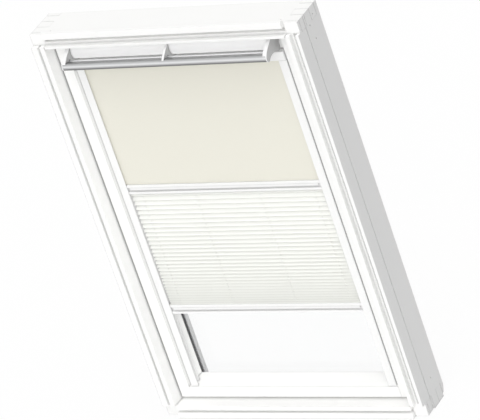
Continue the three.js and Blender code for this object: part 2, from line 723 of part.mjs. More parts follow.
// Roller: tube on a fixed axle, spring between them and the wound cloth round the tube
const tubeHalf = halfWidth - railMargin - tubeInset;
const tubeBore = rodX(tubeRadius - tubeWall, -halfWidth, halfWidth, rollDepth, rollHeight);
addPiece('roller_tube', cut(rodX(tubeRadius, -tubeHalf, tubeHalf, rollDepth, rollHeight), [tubeBore]),
  silver);
const clothHalf = halfWidth - railMargin - clothInset;
addPiece('wound_cloth', cut(rodX(rollRadius - clearance, -clothHalf, clothHalf, rollDepth, rollHeight),
  [rodX(tubeRadius + clearance, -halfWidth, halfWidth, rollDepth, rollHeight)]), blackoutCloth);
const axleHalf = halfWidth - railMargin - clearance;
addPiece('roller_axle', rodX(axleRadius, -axleHalf, axleHalf, rollDepth, rollHeight, smallSides), steel);
addPiece('roller_spring', cut(rodX(tubeRadius - tubeWall - clearance, -tubeHalf + springStart,
  -tubeHalf + springStart + springLength, rollDepth, rollHeight),
[rodX(axleRadius + clearance, -halfWidth, halfWidth, rollDepth, rollHeight, smallSides)]), steel);

// Side rails: a rounded face with a channel towards the cloth, cut to the bevel at the foot
const railBack = bevelAt(railMargin + railWidth - channelReach - railWall) - railBackGap;
const hookEnd = bevelAt(railMargin) - railHookGap;

function railSection() {
  const inner = railMargin + railWidth;
  const web = inner - channelReach;
  const round = [];
  const steps = 4;
  for (let i = 0; i <= steps; i += 1) {
    const angle = (Math.PI / 2) * i / steps;
    round.push([railMargin + railRound * (1 - Math.cos(angle)),
      railFront + railRound * (1 - Math.sin(angle))]);
  }
  return [
    [railMargin, hookEnd], ...round, [inner, railFront], [inner, railFront + railWall],
    [web, railFront + railWall], [web, railBack - railWall], [inner, railBack - railWall], [inner, railBack],
    [web - railWall, railBack], [web - railWall, railFront + railWall],
    [railMargin + railWall, railFront + channelHook], [railMargin + railWall, hookEnd],
  ];
}

const railFoot = bottomEdge + clearance;
const footShare = (bottomBevelEnd - bottomEdge) / (bevelDepth - sashFront - faceEdge);
const railTop = boxBottom - clearance;
for (const side of sides) {
  const rail = alongZ(side, railSection(), railFoot, railTop);
  const footBack = railBack + overrun;
  const footCut = alongX([[sashFront + faceEdge, railFoot - overrun], [footBack, railFoot - overrun],
    [footBack, railFoot + clearance + (footBack - sashFront - faceEdge) * footShare],
    [sashFront + faceEdge, railFoot + clearance]], -halfWidth, halfWidth);
  addPiece(`side_rail_${sideName(side)}`, cut(rail, [footCut]), whitePlastic);
}

// Blackout cloth from the roll down to the middle bar
addPiece('blackout_cloth', box(-clothHalf, clothHalf, clothFront, clothFront + clothThickness,
  middleBarBottom + barHeight + clearance, rollHeight), blackoutCloth);

// Places of the four cords across the bars
const bladeHalf = halfWidth - railMargin - railWidth - barEndGap;
const cordPlaces = [-bladeHalf + cordInset, -2 * bladeHalf * cordPairShare, 2 * bladeHalf * cordPairShare,
  bladeHalf - cordInset];

// Bars: two lips with a deep finger groove and a thin groove between them, hollow inside
function makeBlindBar(bottom, cordEnd) {
  const groove0 = bottom + lowerLipHeight;
  const groove1 = groove0 + fingerGroove;
  const thin0 = groove1 + midFaceHeight;
  const thin1 = thin0 + thinGroove;
  const top = bottom + barHeight;
  const midFront = barFront + midFaceSetback;
  const section = [[barFront, bottom], [barBack, bottom], [barBack, top], [barFront, top], [barFront, thin1],
    [barFront + thinGrooveDepth, thin1], [barFront + thinGrooveDepth, thin0], [midFront, thin0],
    [midFront, groove1], [barFront + fingerGrooveDepth, groove1],
    [barFront + fingerGrooveDepth, groove0], [barFront, groove0]];
  const hollow = [[barFront + fingerGrooveDepth + barWall, bottom + barWall],
    [barFront + fingerGrooveDepth + barWall, top - barWall], [barBack - barWall, top - barWall],
    [barBack - barWall, bottom + barWall]];
  const notches = sides.map((side) => box(side * (bladeHalf - notchLength), side * (bladeHalf + overrun),
    barFront - overrun, barFront + fingerGrooveDepth, groove0, thin1));
  const reach = barWall + overrun / 2;
  const cordBores = cordPlaces.map((x) => rodZ(cordHoleRadius, cordEnd - reach, cordEnd + reach, x,
    pleatCentre, cordSides));
  return cut(alongX(section, -bladeHalf, bladeHalf, [hollow]), [...notches, ...cordBores]);
}

// A glider: a plug in the hollow end of the bar and a tongue that runs in the rail
function makeGlider(side, bottom) {
  const plugFront = barFront + fingerGrooveDepth + barWall + clearance;
  const z0 = bottom + barWall + clearance;
  const z1 = bottom + barHeight - barWall - clearance;
  const tongueFront = railFront + railWall + clearance;
  return join([
    box(side * (bladeHalf - gliderPlug), side * bladeHalf, plugFront, barBack - barWall - clearance, z0, z1),
    box(side * (bladeHalf - clearance), side * (bladeHalf + gliderReach), plugFront,
      railBack - railWall - clearance, z0, z1),
    box(side * (bladeHalf + clearance), side * (bladeHalf + gliderReach), tongueFront,
      railBack - railWall - clearance, z0, z1),
  ]);
}

for (const [name, bottom, cordEnd] of [['middle', middleBarBottom, middleBarBottom],
  ['bottom', bottomBarBottom, bottomBarBottom + barHeight]]) {
  addPiece(`${name}_bar`, makeBlindBar(bottom, cordEnd), whitePlastic);
  for (const side of sides) {
    addPiece(`${name}_glider_${sideName(side)}`, makeGlider(side, bottom), whitePlastic);
  }
}

// Pleats: each panel keeps its length, and the pleats close up towards the bottom
const pleatSpace = middleBarBottom - bottomBarBottom - barHeight - 2 * clearance;
const pleatWeights = Array.from({ length: pleatCount }, (_, i) => 1
  - pleatTaperShare * ((i + 1 / 2) / pleatCount) ** pleatCurveShare);
const weightSum = pleatWeights.reduce((sum, next) => sum + next, 0);
const pleatHeights = pleatWeights.map((weight) => weight * pleatSpace / weightSum);
const meetingHeight = middleBarBottom - clearance - pleatHeights.slice(0, upperPleats)
  .reduce((sum, next) => sum + next, 0);

// A zigzag sheet hung from a height: it starts at a back fold, and every pleat has one ridge at the front
function makePleats(top, heights) {
  const panels = heights.flatMap((height) => [height / 2, height / 2]);
  const front = [];
  const back = [];
  let z = top;
  for (let i = 0; i <= panels.length; i += 1) {
    const height = panels[Math.min(i, panels.length - 1)];
    const half = Math.sqrt(pleatPanel ** 2 - height ** 2) / 2;
    const thick = pleatThickness * pleatPanel / height / 2;
    const depth = pleatCentre + (i % 2 === 0 ? half : -half);
    front.push([depth - thick, z]);
    back.unshift([depth + thick, z]);
    z -= panels[i] || 0;
  }
  const sheet = alongX([...back, ...front], -bladeHalf, bladeHalf);
  const holes = cordPlaces.map((x) => rodZ(cordHoleRadius, z - overrun, top + overrun, x, pleatCentre,
    prismSides));
  return cut(sheet, holes);
}

const upperHeights = pleatHeights.slice(0, upperPleats);
const lowerHeights = pleatHeights.slice(upperPleats);
const lowerShare = 1 - clearance / lowerHeights.reduce((sum, next) => sum + next, 0);
const pleatTop = middleBarBottom - clearance;
const pleatFoot = bottomBarBottom + barHeight + clearance;
addPiece('pleated_cloth_upper', makePleats(pleatTop, upperHeights), pleatCloth);
addPiece('pleated_cloth_lower', makePleats(meetingHeight - clearance,
  lowerHeights.map((height) => height * lowerShare)), pleatCloth);

// Cords: one runs through the holes of each half and on inside the hollow of its bar
function makeCords(z0, z1, runHeight) {
  const run = rodX(cordRadius, cordPlaces[0] - cordRadius, cordPlaces[3] + cordRadius, pleatCentre, runHeight,
    cordSides);
  const falls = cordPlaces.map((x) => rodZ(cordRadius, Math.min(z0, runHeight), Math.max(z1, runHeight), x,
    pleatCentre, cordSides));
  return join([run, ...falls]);
}

const cordLift = barWall + 2 * clearance + cordRadius;
addPiece('pleat_cord_upper', makeCords(meetingHeight, pleatTop, middleBarBottom + cordLift), paleCord);
addPiece('pleat_cord_lower', makeCords(pleatFoot, meetingHeight - clearance,
  bottomBarBottom + barHeight - cordLift), paleCord);

export default roofWindow;
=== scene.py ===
"""Centre-pivot roof window with a duo blind: white painted timber, a blackout cloth above and a
pleated cloth below."""
import math

import bpy
import numpy as np
from bpy.props import FloatProperty, FloatVectorProperty, IntProperty, PointerProperty
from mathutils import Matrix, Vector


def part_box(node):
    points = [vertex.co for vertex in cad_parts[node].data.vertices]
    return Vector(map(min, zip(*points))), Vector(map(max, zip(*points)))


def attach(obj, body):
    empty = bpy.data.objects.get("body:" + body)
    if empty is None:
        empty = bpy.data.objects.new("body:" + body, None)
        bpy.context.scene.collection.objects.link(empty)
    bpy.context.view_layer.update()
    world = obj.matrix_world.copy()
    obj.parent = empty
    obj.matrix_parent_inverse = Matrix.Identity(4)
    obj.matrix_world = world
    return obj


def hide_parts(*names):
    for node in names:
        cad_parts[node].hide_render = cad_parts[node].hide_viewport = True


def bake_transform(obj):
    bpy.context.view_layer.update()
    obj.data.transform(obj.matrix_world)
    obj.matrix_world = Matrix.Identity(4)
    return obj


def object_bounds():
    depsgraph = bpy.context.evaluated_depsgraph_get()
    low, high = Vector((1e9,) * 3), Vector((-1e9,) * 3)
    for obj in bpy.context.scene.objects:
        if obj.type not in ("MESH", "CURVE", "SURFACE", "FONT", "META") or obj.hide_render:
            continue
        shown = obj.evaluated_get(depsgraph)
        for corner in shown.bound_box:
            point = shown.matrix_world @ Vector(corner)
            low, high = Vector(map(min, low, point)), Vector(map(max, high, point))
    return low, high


bl_info = {
    "name": "Roof window with duo blind",
    "version": (1, 0, 0),
    "blender": (4, 5, 0),
    "location": "View3D > Sidebar > Roof window",
    "description": "Dresses a centre-pivot roof window and its interior duo blind",
    "category": "Object",
}

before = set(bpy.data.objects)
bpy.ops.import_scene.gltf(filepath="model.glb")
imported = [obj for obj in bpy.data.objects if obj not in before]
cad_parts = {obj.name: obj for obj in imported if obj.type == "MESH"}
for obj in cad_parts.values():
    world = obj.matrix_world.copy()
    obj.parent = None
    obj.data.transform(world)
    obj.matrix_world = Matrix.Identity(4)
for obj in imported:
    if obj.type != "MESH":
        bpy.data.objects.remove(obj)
CAD_BOUNDS = [[float(value) for value in corner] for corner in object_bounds()]
MM = 0.001

# Colours that aren't settings, and shares of a colour
# The share of the colour left on the frame's outer side faces is painted shade
SIDE_SHADE_SHARE = (0.71, 0.71, 0.715)
# The flap's colour is raised above the other mouldings' as painted light, against the shade under
# the head
FLAP_PAINTED_LIGHT_COLOUR = (0.97, 0.97, 0.97)
STEEL_COLOUR = (0.50, 0.51, 0.52)
SPACER_COLOUR = (0.78, 0.78, 0.785)
RUBBER_COLOUR = (0.08, 0.08, 0.082)
CLADDING_COLOUR = (0.075, 0.08, 0.085)
GLASS_COLOUR = (0.998, 1.0, 1.0)
FOAM_COLOUR = (0.10, 0.105, 0.11)
CORD_COLOUR = (0.84, 0.84, 0.82)
FLOOR_COLOUR = (0.9, 0.9, 0.9)
# Shares of the colour left as painted shade at the bottom of grooves and folds
CREASE_SHADE_SHARE = 0.55
SASH_CREASE_SHADE_SHARE = 0.3
PLEAT_CREASE_SHADE_SHARE = 0.88
# Share of the colour left as painted shade on the brackets' faces towards +X
ARM_SIDE_SHADE_SHARE = 0.6

# How wide a groove or fold may be to get painted shade, and how far in the painted shade of the
# side faces goes
CREASE_SHADE_REACH = 7 * MM
CREASE_SHADE_SAMPLES = 8
PLEAT_CREASE_SHADE_REACH = 4 * MM
SIDE_SHADE_REACH = 1 * MM

# How often a pattern repeats in a metre along X, Y and Z, least along the grain
UPRIGHT_GRAIN = (260, 260, 7)
LEVEL_GRAIN = (7, 260, 260)
LEVEL_HAIRS = (6, 900, 900)
EVEN_HAIRS = (300, 300, 300)
YARN_RUN = (40, 900, 1)

# Roundings of fittings, and how the model's solids are cleaned before they are rounded
SEAL_EDGE = 0.6 * MM
BRACKET_EDGE = 0.6 * MM
GLAZING_EDGE = 0.4 * MM
STEEL_EDGE = 0.3 * MM
FLAP_EDGE = 0.3 * MM
BUSH_EDGE = 0.2 * MM
CLADDING_EDGE_SHARE = 0.25
MERGE_DISTANCE = 0.01 * MM
FLAT_ANGLE = math.radians(1)
CORNER_ANGLE = math.radians(30)
EDGE_STEPS = 2

# Outline of the control bar, clockwise seen from its right end: shares of its depth from the nose
# and of its height from the foot, and a share of the colour there that is painted highlight or
# shade
BAR_OUTLINE = (
    (0.316, 1, 0.4), (0.504, 0.93, 0.33), (0.613, 0.8, 0.22), (0.67, 0.69, 0.12), (0.72, 0.73, 0.2),
    (0.77, 0.84, 0.9), (0.85, 0.87, 1), (0.94, 0.82, 0.3), (1, 0.7, 0.15), (0.947, 0.56, 0.2),
    (0.79, 0.43, 0.15), (0.602, 0.214, 0.15), (0.381, 0.043, 0.2), (0.204, 0, 0.28),
    (0.084, 0.075, 0.23), (0.018, 0.246, 0.21), (0, 0.455, 0.54), (0.013, 0.674, 0.88),
    (0.066, 0.87, 0.5), (0.164, 0.984, 0.39))
BAR_OUTLINE_STEPS = 8
BAR_STATIONS = 40
BAR_END_ROUND = 0.6 * MM
END_ROUND_STEPS = 4

# Blackout cloth: the flat sheet, and the spiral that is wound on the roller
BLACKOUT_THICKNESS = 0.4 * MM
BLACKOUT_COLUMNS = 48
SWELL = 0.1 * MM
SWELL_ANGLE = 5
ROLL_THICKNESS = 0.3 * MM
ROLL_CORE = 6.6 * MM
ROLL_TURNS = 2.5
ROLL_STEPS = 120
ROLL_STATIONS = 12

# Pleated cloth: its rows in one panel are the fold, a place near it, three at the hole and a
# place near the next fold; folds are pulled in by a share of their depth. HOLE_RING has the steps
# in rows and columns round a hole, and FLAT_PANEL is the least square of a panel's depth
PLEAT_THICKNESS = 0.3 * MM
PLEAT_BAR_GAP = 0.3 * MM
PANEL_ROWS = 6
HOLE_ROW = 3
FOLD_SHARE = 0.07
FOLD_PULL_SHARE = 0.03
HOLE_CELL = 2 * MM
HOLE_RING = np.array([(0, 1), (1, 1), (1, 0), (1, -1), (0, -1), (-1, -1), (-1, 0), (-1, 1)])
PLEAT_COLUMNS = 25
LEAST_COLUMN = 6 * MM
FLAT_PANEL = 1e-9

# Cords of the pleats: how far in the outer ones are, and where the inner ones are
CORD_INSET = 31 * MM
INNER_CORD_SHARE = 0.33
CORD_STEPS = 40
CORD_SIDES = 8

# Floor, lamps and camera
FLOOR_RADII = (0.001, 1.5, 6.0, 30.0)
FLOOR_SIDES = 64
FLOOR_DROP = 0.4 * MM
FLOOR_GLOW_SHARE = 0.93
LAMPS = (("front_light", "front", False, (0.42, -0.78, 0.46)),
         ("soft_sun", "sun", True, (0.33, -0.70, 0.63)),
         ("top_light", "top", True, (0.1, -0.15, 1)))
LAMP_UP = (0, 1, 0.1)
LAMP_PLACE = (0, 0, 3)
CAMERA_BACK = (0.5158, -0.7253, 0.4559)
CAMERA_UP = (0.0200, 0.5423, 0.8400)
CAMERA_PLACE = (5.91903, -8.29311, 5.82654)
SENSOR_WIDTH = 36
VIEW_END = 100

# Sockets of a Mix node that mixes colours
MIX_FIRST, MIX_SECOND, MIX_RESULT = 6, 7, 2


# Settings


class WindowPaint(bpy.types.PropertyGroup):
    """Colours and edges of the timber, profiles and fittings."""

    timber: FloatVectorProperty(
        name="Painted timber", description="Colour of the frame and sash",
        size=3, subtype="COLOR", min=0, max=1, default=(0.90, 0.90, 0.89))
    profile: FloatVectorProperty(
        name="Blind profiles", description="Colour of the rails, head box and bars",
        size=3, subtype="COLOR", min=0, max=1, default=(0.87, 0.87, 0.865))
    moulding: FloatVectorProperty(
        name="Mouldings", description="Colour of brackets and end pieces",
        size=3, subtype="COLOR", min=0, max=1, default=(0.80, 0.80, 0.80))
    silver: FloatVectorProperty(
        name="Silver bar", description="Colour of the control bar and the roller tube",
        size=3, subtype="COLOR", min=0, max=1, default=(0.95, 0.955, 0.965))
    edge: FloatProperty(
        name="Timber edge", description="Rounding of the timber's edges",
        subtype="DISTANCE", min=0.0002, max=0.004, default=0.0011)
    profile_edge: FloatProperty(
        name="Profile edge", description="Rounding of the blind profiles' edges",
        subtype="DISTANCE", min=0.0001, max=0.002, default=0.0004)


class BlindCloth(bpy.types.PropertyGroup):
    """Sizes and colours of the two cloths."""

    blackout: FloatVectorProperty(
        name="Blackout cloth", description="Colour of the upper cloth",
        size=3, subtype="COLOR", min=0, max=1, default=(0.765, 0.75, 0.665))
    pleated: FloatVectorProperty(
        name="Pleated cloth", description="Colour of the lower cloth",
        size=3, subtype="COLOR", min=0, max=1, default=(0.88, 0.885, 0.855))
    upper_pleats: IntProperty(
        name="Upper pleats", description="Pleats above the meeting line",
        min=4, max=40, default=16)
    lower_pleats: IntProperty(
        name="Lower pleats", description="Pleats below the meeting line",
        min=4, max=40, default=15)
    panel: FloatProperty(
        name="Panel", description="Length of one panel of a pleat",
        subtype="DISTANCE", min=0.006, max=0.03, default=0.0115)
    taper: FloatProperty(
        name="Taper", description="How far the pleats close up towards the bottom",
        subtype="FACTOR", min=0, max=0.9, default=0.58)
    curve: FloatProperty(
        name="Taper curve", description="How late the pleats begin to close up",
        min=0.5, max=4, default=1.5)
    hole: FloatProperty(
        name="Cord hole", description="Radius of the holes for the cords",
        subtype="DISTANCE", min=0.0005, max=0.003, default=0.0009)
    cord: FloatProperty(
        name="Cord", description="Radius of the pleats' cords",
        subtype="DISTANCE", min=0.0002, max=0.001, default=0.00055)


class StudioLight(bpy.types.PropertyGroup):
    """Light and camera."""

    sky: FloatProperty(
        name="Sky", description="Strength of the even light", min=0, max=3, default=0.42)
    front: FloatProperty(
        name="Front light", description="Strength of the shadowless light from the front right",
        min=0, max=10, default=0.90)
    sun: FloatProperty(
        name="Sun", description="Strength of the soft light from the upper right",
        min=0, max=10, default=0.65)
    top: FloatProperty(
        name="Top light", description="Strength of the wide light from above",
        min=0, max=10, default=1.2)
    softness: FloatProperty(
        name="Softness", description="Apparent size of the light",
        subtype="ANGLE", min=0, max=3, default=math.radians(50))
    focal: FloatProperty(
        name="Focal length", description="Lens of the camera in millimetres",
        min=20, max=1000, default=338.87)


# Meshes


def mesh_piece(name, points, faces, surface, smooth=True):
    """A new object at the origin from an array of points and a list or array of faces."""
    mesh = bpy.data.meshes.new(name)
    corners = [list(map(int, face)) for face in faces]
    mesh.from_pydata(np.asarray(points, float).tolist(), [], corners)
    mesh.materials.append(surface)
    mesh.polygons.foreach_set("use_smooth", np.full(len(mesh.polygons), smooth))
    mesh.update()
    piece = bpy.data.objects.new(name, mesh)
    bpy.context.scene.collection.objects.link(piece)
    return piece


def grid_faces(rows, columns, closed=False):
    """Quads of a grid of rows by columns of points; closed joins the last row to the first."""
    last = rows if closed else rows - 1
    i, j = np.meshgrid(np.arange(last), np.arange(columns - 1), indexing="ij")
    a = i * columns + j
    b = ((i + 1) % rows) * columns + j
    return np.stack([a, a + 1, b + 1, b], -1).reshape(-1, 4)


def tube_faces(sides, stations, inside_out=False):
    """Faces of a closed tube on a grid of sides by stations: its wall, and one face at each
    end."""
    wall = grid_faces(sides, stations, closed=True)
    if inside_out:
        wall = wall[:, ::-1]
    first = np.arange(sides) * stations
    return [*wall.tolist(), first.tolist(), (first + stations - 1)[::-1].tolist()]


def smooth_outline(points, steps):
    """A closed curve through the points: between two points the place is the cubic whose slope at
    each point is half the step between its neighbours."""
    here = np.asarray(points, float)
    before, after, beyond = np.roll(here, 1, 0), np.roll(here, -1, 0), np.roll(here, -2, 0)
    t = np.arange(steps)[:, None, None] / steps
    curve = 0.5 * (2 * here + (after - before) * t
                   + (2 * before - 5 * here + 4 * after - beyond) * t**2
                   + (3 * here - before - 3 * after + beyond) * t**3)
    return curve.transpose(1, 0, 2).reshape(-1, here.shape[1])


def profile_prism(name, outline, x0, x1, surface, stations, end_round):
    """An anticlockwise outline of depth and height carried along X from x0 to x1. Near each end
    the outline shrinks towards its middle on a quarter circle of radius end_round, and both ends
    are closed."""
    angle = np.linspace(0, math.pi / 2, END_ROUND_STEPS)
    rise = end_round * (1 - np.cos(angle))
    shrink = end_round * (1 - np.sin(angle))
    along = np.concatenate([x0 + rise, np.linspace(x0, x1, stations)[1:-1], x1 - rise[::-1]])
    inset = np.concatenate([shrink, np.zeros(stations - 2), shrink[::-1]])
    step = np.roll(outline, -1, 0) - np.roll(outline, 1, 0)
    normal = np.stack([step[:, 1], -step[:, 0]], 1) / np.linalg.norm(step, axis=1)[:, None]
    points = np.empty((len(outline), len(along), 3))
    points[..., 0] = along
    points[..., 1:] = outline[:, None, :] - normal[:, None, :] * inset[None, :, None]
    piece = mesh_piece(name, points.reshape(-1, 3), tube_faces(len(outline), len(along)), surface)
    flip_if_inward(piece)
    piece.data.set_sharp_from_angle(angle=CORNER_ANGLE)
    piece.data.update()
    return piece


def flip_if_inward(piece):
    """Turns the faces of a closed piece outwards: the sum of each face's centre times its normal
    and area is negative when they point inwards."""
    faces = piece.data.polygons
    centre = np.empty(len(faces) * 3)
    normal = np.empty(len(faces) * 3)
    area = np.empty(len(faces))
    faces.foreach_get("center", centre)
    faces.foreach_get("normal", normal)
    faces.foreach_get("area", area)
    centre = centre.reshape(-1, 3)
    if np.sum((centre - centre.mean(0)) * normal.reshape(-1, 3) * area[:, None]) < 0:
        piece.data.flip_normals()


def tube(path, radius):
    """Points and faces of a round tube: at each point of the path a circle stands square to the
    path's direction, and both ends are closed."""
    along = np.gradient(path, axis=0)
    along /= np.linalg.norm(along, axis=1)[:, None]
    first = np.cross(along, (0.0, 1.0, 0.0))
    first /= np.linalg.norm(first, axis=1)[:, None]
    second = np.cross(along, first)
    angle = (np.arange(CORD_SIDES) * 2 * math.pi / CORD_SIDES)[:, None, None]
    ring = path[None] + radius * (np.cos(angle) * first[None] + np.sin(angle) * second[None])
    return ring.reshape(-1, 3), tube_faces(CORD_SIDES, len(path), inside_out=True)


def joined(parts):
    """Several sets of points and faces as one."""
    points, faces, start = [], [], 0
    for some_points, some_faces in parts:
        points.append(some_points)
        faces.extend([[index + start for index in face] for face in some_faces])
        start += len(some_points)
    return np.concatenate(points), faces


def write_map(piece, *places):
    """The piece's map in metres, from two arrays that give one place for each point."""
    places = np.stack(np.broadcast_arrays(*places), -1).reshape(-1, 2).astype(np.float32)
    mesh = piece.data
    corners = np.empty(len(mesh.loops), np.int32)
    mesh.loops.foreach_get("vertex_index", corners)
    mesh.uv_layers.new(name="UVMap").data.foreach_set("uv", places[corners].ravel())


def thicken(piece, thickness):
    """Gives a sheet its thickness evenly to both sides."""
    solid = piece.modifiers.new("thickness", "SOLIDIFY")
    solid.thickness = thickness
    solid.offset = 0


# Materials


class Finish:
    """A node material: shader is its Principled node, and the methods add to its tree."""

    def __init__(self, name, colour, roughness, metallic=0.0):
        self.material = bpy.data.materials.new(name)
        self.material.use_nodes = True
        self.tree = self.material.node_tree
        self.shader = self.tree.nodes["Principled BSDF"]
        self.shader.inputs["Base Color"].default_value = (*colour, 1)
        self.shader.inputs["Roughness"].default_value = roughness
        self.shader.inputs["Metallic"].default_value = metallic
        self.colour = colour

    def node(self, kind, **settings):
        """A new node with some of its own settings."""
        made = self.tree.nodes.new(kind)
        for key, value in settings.items():
            setattr(made, key, value)
        return made

    def link(self, source, target):
        """A link from an output to an input."""
        self.tree.links.new(source, target)

    def places(self, scale=(1, 1, 1), source="Object"):
        """Coordinates of the piece, stretched by scale."""
        where = self.node("ShaderNodeTexCoord")
        mapping = self.node("ShaderNodeMapping")
        mapping.inputs["Scale"].default_value = scale
        self.link(where.outputs[source], mapping.inputs["Vector"])
        return mapping.outputs["Vector"]

    def noise(self, vector, scale, detail=3.0, roughness=0.5):
        """Cloudy noise from 0 to 1."""
        made = self.node("ShaderNodeTexNoise")
        made.inputs["Scale"].default_value = scale
        made.inputs["Detail"].default_value = detail
        made.inputs["Roughness"].default_value = roughness
        self.link(vector, made.inputs["Vector"])
        return made.outputs["Fac"]

    def arithmetic(self, operation, *values):
        """The result of a Math node on outputs or numbers."""
        made = self.node("ShaderNodeMath", operation=operation)
        for place, value in zip(made.inputs, values):
            if isinstance(value, bpy.types.NodeSocket):
                self.link(value, place)
            else:
                place.default_value = value
        return made.outputs[0]

    def split(self, vector):
        """The three parts of a vector, by the names X, Y and Z."""
        made = self.node("ShaderNodeSeparateXYZ")
        self.link(vector, made.inputs["Vector"])
        return made.outputs

    def span(self, value, low, high, start=0.0, end=1.0):
        """A value from start to end spread between low and high."""
        made = self.node("ShaderNodeMapRange")
        made.inputs["From Min"].default_value = start
        made.inputs["From Max"].default_value = end
        made.inputs["To Min"].default_value = low
        made.inputs["To Max"].default_value = high
        self.link(value, made.inputs["Value"])
        return made.outputs["Result"]

    def tint(self, value, low, high):
        """The base colour between its share low and its share high, by a value from 0 to 1."""
        made = self.node("ShaderNodeMix", data_type="RGBA")
        made.inputs[MIX_FIRST].default_value = (*[min(1, c * low) for c in self.colour], 1)
        made.inputs[MIX_SECOND].default_value = (*[min(1, c * high) for c in self.colour], 1)
        self.link(value, made.inputs["Factor"])
        self.link(made.outputs[MIX_RESULT], self.shader.inputs["Base Color"])

    def painted_shade_where(self, value, share):
        """The base colour so far times a share of each of its parts, where the value is 1, as
        painted shade.
        """
        base = self.shader.inputs["Base Color"]
        made = self.node("ShaderNodeMix", data_type="RGBA", blend_type="MULTIPLY")
        made.inputs[MIX_SECOND].default_value = (*share, 1)
        self.link(value, made.inputs["Factor"])
        self.link(base.links[0].from_socket, made.inputs[MIX_FIRST])
        self.link(made.outputs[MIX_RESULT], base)

    def scale_colour(self, share):
        """The base colour so far times a share."""
        base = self.shader.inputs["Base Color"]
        scaled = self.node("ShaderNodeVectorMath", operation="SCALE")
        self.link(base.links[0].from_socket, scaled.inputs[0])
        self.link(share, scaled.inputs["Scale"])
        self.link(scaled.outputs["Vector"], base)

    def painted_crease_shade(self, distance, low):
        """Painted shade in narrow grooves: the colour's share goes from low, where all round a
        point is shut in within the distance, to 1 in the open."""
        shut = self.node("ShaderNodeAmbientOcclusion", samples=CREASE_SHADE_SAMPLES)
        shut.inputs["Distance"].default_value = distance
        self.scale_colour(self.span(shut.outputs["AO"], low, 1.0))

    def sides(self, low):
        """Painted shade: what faces towards +X gets a darker colour, down to the share low."""
        where = self.node("ShaderNodeTexCoord")
        toward = self.node("ShaderNodeVectorMath", operation="DOT_PRODUCT")
        toward.inputs[1].default_value = (1, 0, 0)
        self.link(where.outputs["Normal"], toward.inputs[0])
        self.scale_colour(self.span(toward.outputs["Value"], 1.0, low, start=0.75, end=0.95))

    def bump(self, value, distance, strength):
        """Relief that is up to distance high where the value is 1."""
        made = self.node("ShaderNodeBump")
        made.inputs["Distance"].default_value = distance
        made.inputs["Strength"].default_value = strength
        self.link(value, made.inputs["Height"])
        self.link(made.outputs["Normal"], self.shader.inputs["Normal"])


def painted_timber(name, colour, grain, shaded_side=0.0, crease=CREASE_SHADE_SHARE):
    """White paint over timber: fine fibres along the grain show as shallow relief, and the gloss
    varies a little. With a side half width above 0, faces further from the middle than it get a
    greyer colour as painted shade. Narrow grooves get painted shade too."""
    finish = Finish(name, colour, roughness=0.45)
    fibres = finish.noise(finish.places(grain), scale=1.0, detail=4, roughness=0.6)
    cloud = finish.noise(finish.places(), scale=9.0, detail=2)
    finish.tint(cloud, 0.985, 1.012)
    finish.link(finish.span(cloud, 0.4, 0.55), finish.shader.inputs["Roughness"])
    finish.bump(fibres, distance=0.03 * MM, strength=0.15)
    # Painted shade: the outer side faces get a greyer colour
    if shaded_side > 0:
        off_middle = finish.arithmetic("ABSOLUTE", finish.split(finish.places())["X"])
        finish.painted_shade_where(finish.arithmetic("GREATER_THAN", off_middle, shaded_side), SIDE_SHADE_SHARE)
    # Painted shade in narrow grooves
    finish.painted_crease_shade(CREASE_SHADE_REACH, crease)
    return finish.material


def satin_profile(name, colour, roughness=0.38):
    """Powder coat: a fine even grain in the surface."""
    finish = Finish(name, colour, roughness)
    finish.tint(finish.noise(finish.places(), scale=14.0, detail=2), 0.985, 1.01)
    # Painted shade in narrow grooves
    finish.painted_crease_shade(CREASE_SHADE_REACH, CREASE_SHADE_SHARE)
    grain = finish.noise(finish.places(), scale=900.0, detail=2)
    finish.bump(grain, distance=0.02 * MM, strength=0.3)
    return finish.material


def matt_moulding(name, colour, side=1.0):
    """Moulded plastic: a finely etched face. A side share below 1 paints shade on what faces
    towards +X, so that it is greyer than the rims."""
    finish = Finish(name, colour, roughness=0.5)
    finish.tint(finish.noise(finish.places(), scale=25.0, detail=2), 0.98, 1.01)
    # Painted shade on the faces towards +X
    if side < 1:
        finish.sides(side)
    # Painted shade in narrow grooves
    finish.painted_crease_shade(CREASE_SHADE_REACH, CREASE_SHADE_SHARE)
    etched = finish.noise(finish.places(), scale=1400.0)
    finish.bump(etched, distance=0.03 * MM, strength=0.3)
    return finish.material


def drawn_metal(name, colour, roughness, hairs=LEVEL_HAIRS, gleam=""):
    """Drawn metal: hairlines along its run vary gloss and relief. A named mesh attribute can scale
    the colour, as painted highlights and painted shade along a profile."""
    finish = Finish(name, colour, roughness, metallic=1.0)
    lines = finish.noise(finish.places(hairs), scale=1.0, roughness=0.6)
    finish.tint(lines, 0.94, 1.04)
    # Painted highlights and painted shade from the mesh attribute
    if gleam:
        finish.scale_colour(finish.node("ShaderNodeAttribute", attribute_name=gleam).outputs["Fac"])
    gloss = finish.span(lines, roughness - 0.06, roughness + 0.1)
    finish.link(gloss, finish.shader.inputs["Roughness"])
    finish.bump(lines, distance=0.03 * MM, strength=0.4)
    return finish.material


def soft_rubber(name, colour):
    """Rubber: dull, with a faint grain and paler rubbed spots."""
    finish = Finish(name, colour, roughness=0.75)
    finish.tint(finish.noise(finish.places(), scale=60.0), 0.8, 1.5)
    grain = finish.noise(finish.places(), scale=1500.0, detail=2)
    finish.bump(grain, distance=0.06 * MM, strength=0.4)
    return finish.material


def clear_pane(name, colour):
    """Clear glass with a faint cool tint and hardly any unevenness."""
    finish = Finish(name, colour, roughness=0.0)
    finish.shader.inputs["Transmission Weight"].default_value = 1.0
    finish.shader.inputs["IOR"].default_value = 1.2
    waves = finish.noise(finish.places(), scale=3.0, detail=1)
    finish.bump(waves, distance=0.02 * MM, strength=0.1)
    return finish.material


